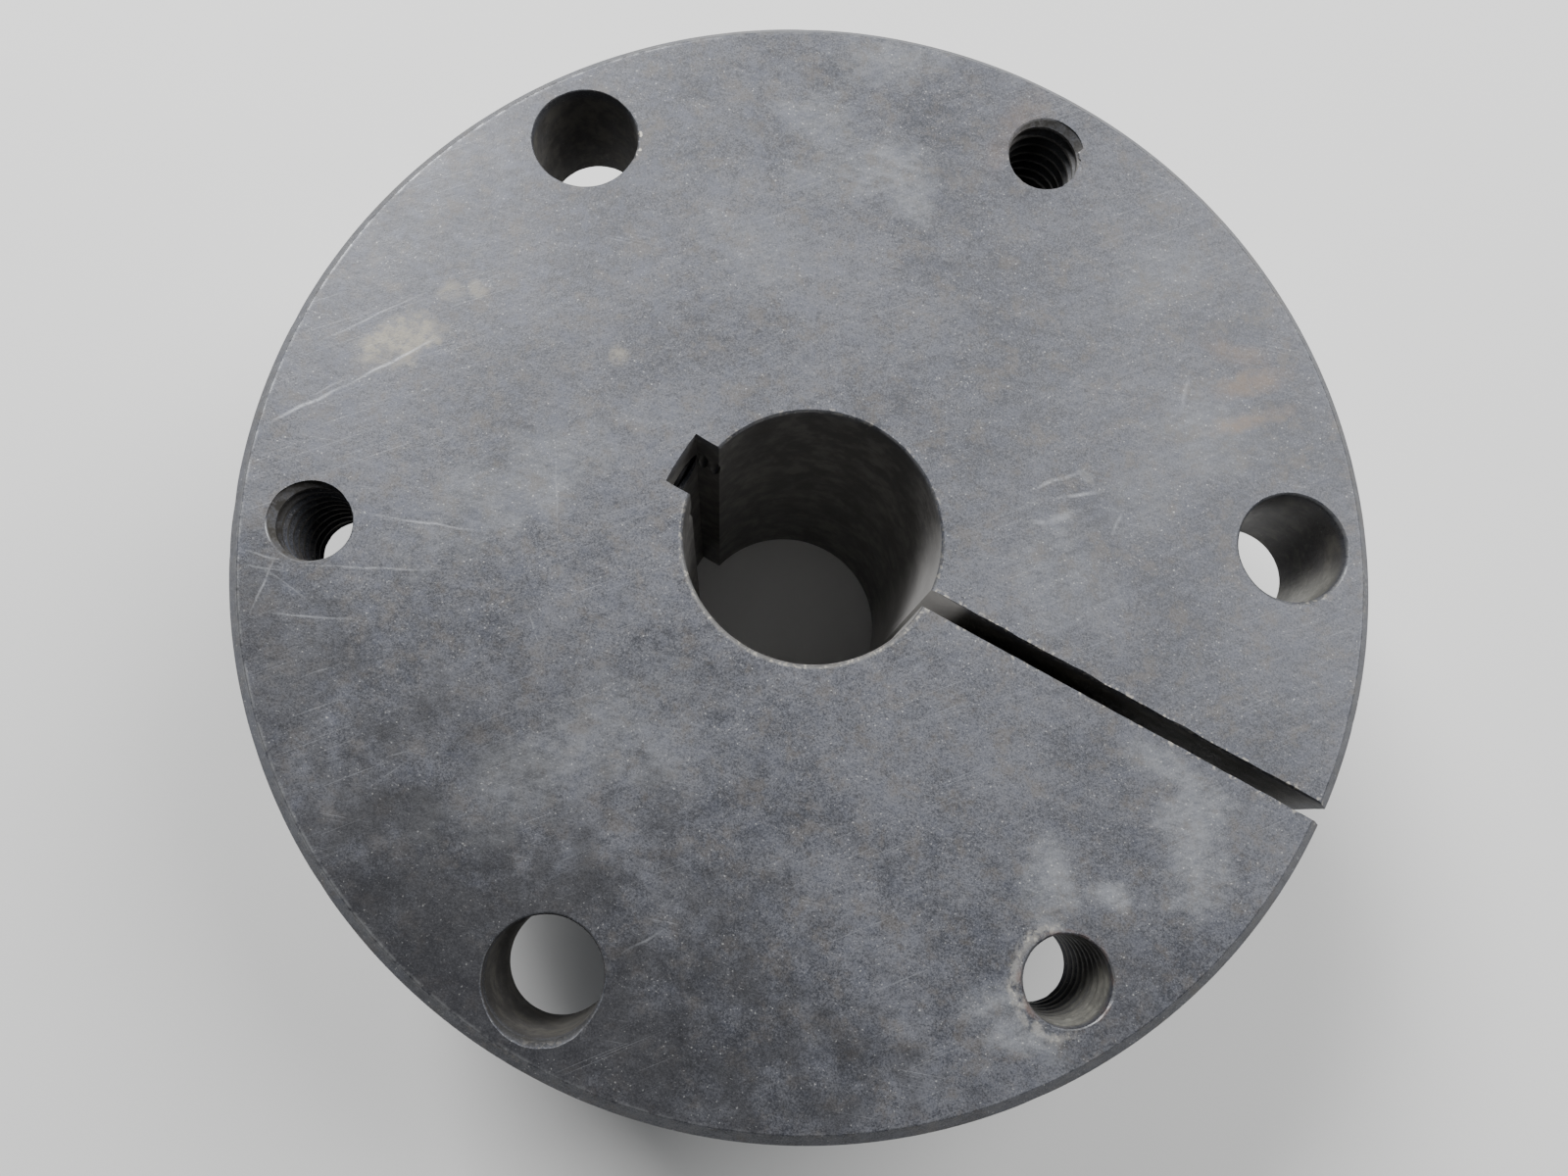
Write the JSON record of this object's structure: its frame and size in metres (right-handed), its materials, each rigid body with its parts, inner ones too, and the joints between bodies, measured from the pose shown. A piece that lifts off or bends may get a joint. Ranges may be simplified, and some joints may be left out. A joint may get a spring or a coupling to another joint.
{
  "type": "split taper bushing",
  "caption": "Flanged split taper bushing with a keyed bore, screw holes around the flange and a set screw over the keyway, for fixing a V-belt pulley on a shaft.",
  "frame": {"origin": "on the bore's axis, in the small end face of the taper, on which the part stands", "axes": "+Z along the bore towards the flange face; -X towards the keyway, with the split close to +X; a plain hole lies 30 degrees from +X towards +Y, and the plain holes alternate with tapped ones every 60 degrees"},
  "size_m": [0.0984, 0.0984, 0.0492],
  "materials": {
    "phosphated_iron": "dark blue-grey phosphate coat, satin, worn at the edges",
    "black_oxide_steel": "black oxide, lightly oiled"
  },
  "bodies": {
    "bushing": {"split_bushing": "phosphated_iron"},
    "set_screw": {"key_set_screw": "black_oxide_steel"}
  },
  "joints": [
    {"name": "set_screw_travel", "type": "slide", "parent": "bushing", "child": "set_screw", "axis": [1, 0, 0], "range_m": [-0.02159, 0.00254]}
  ]
}
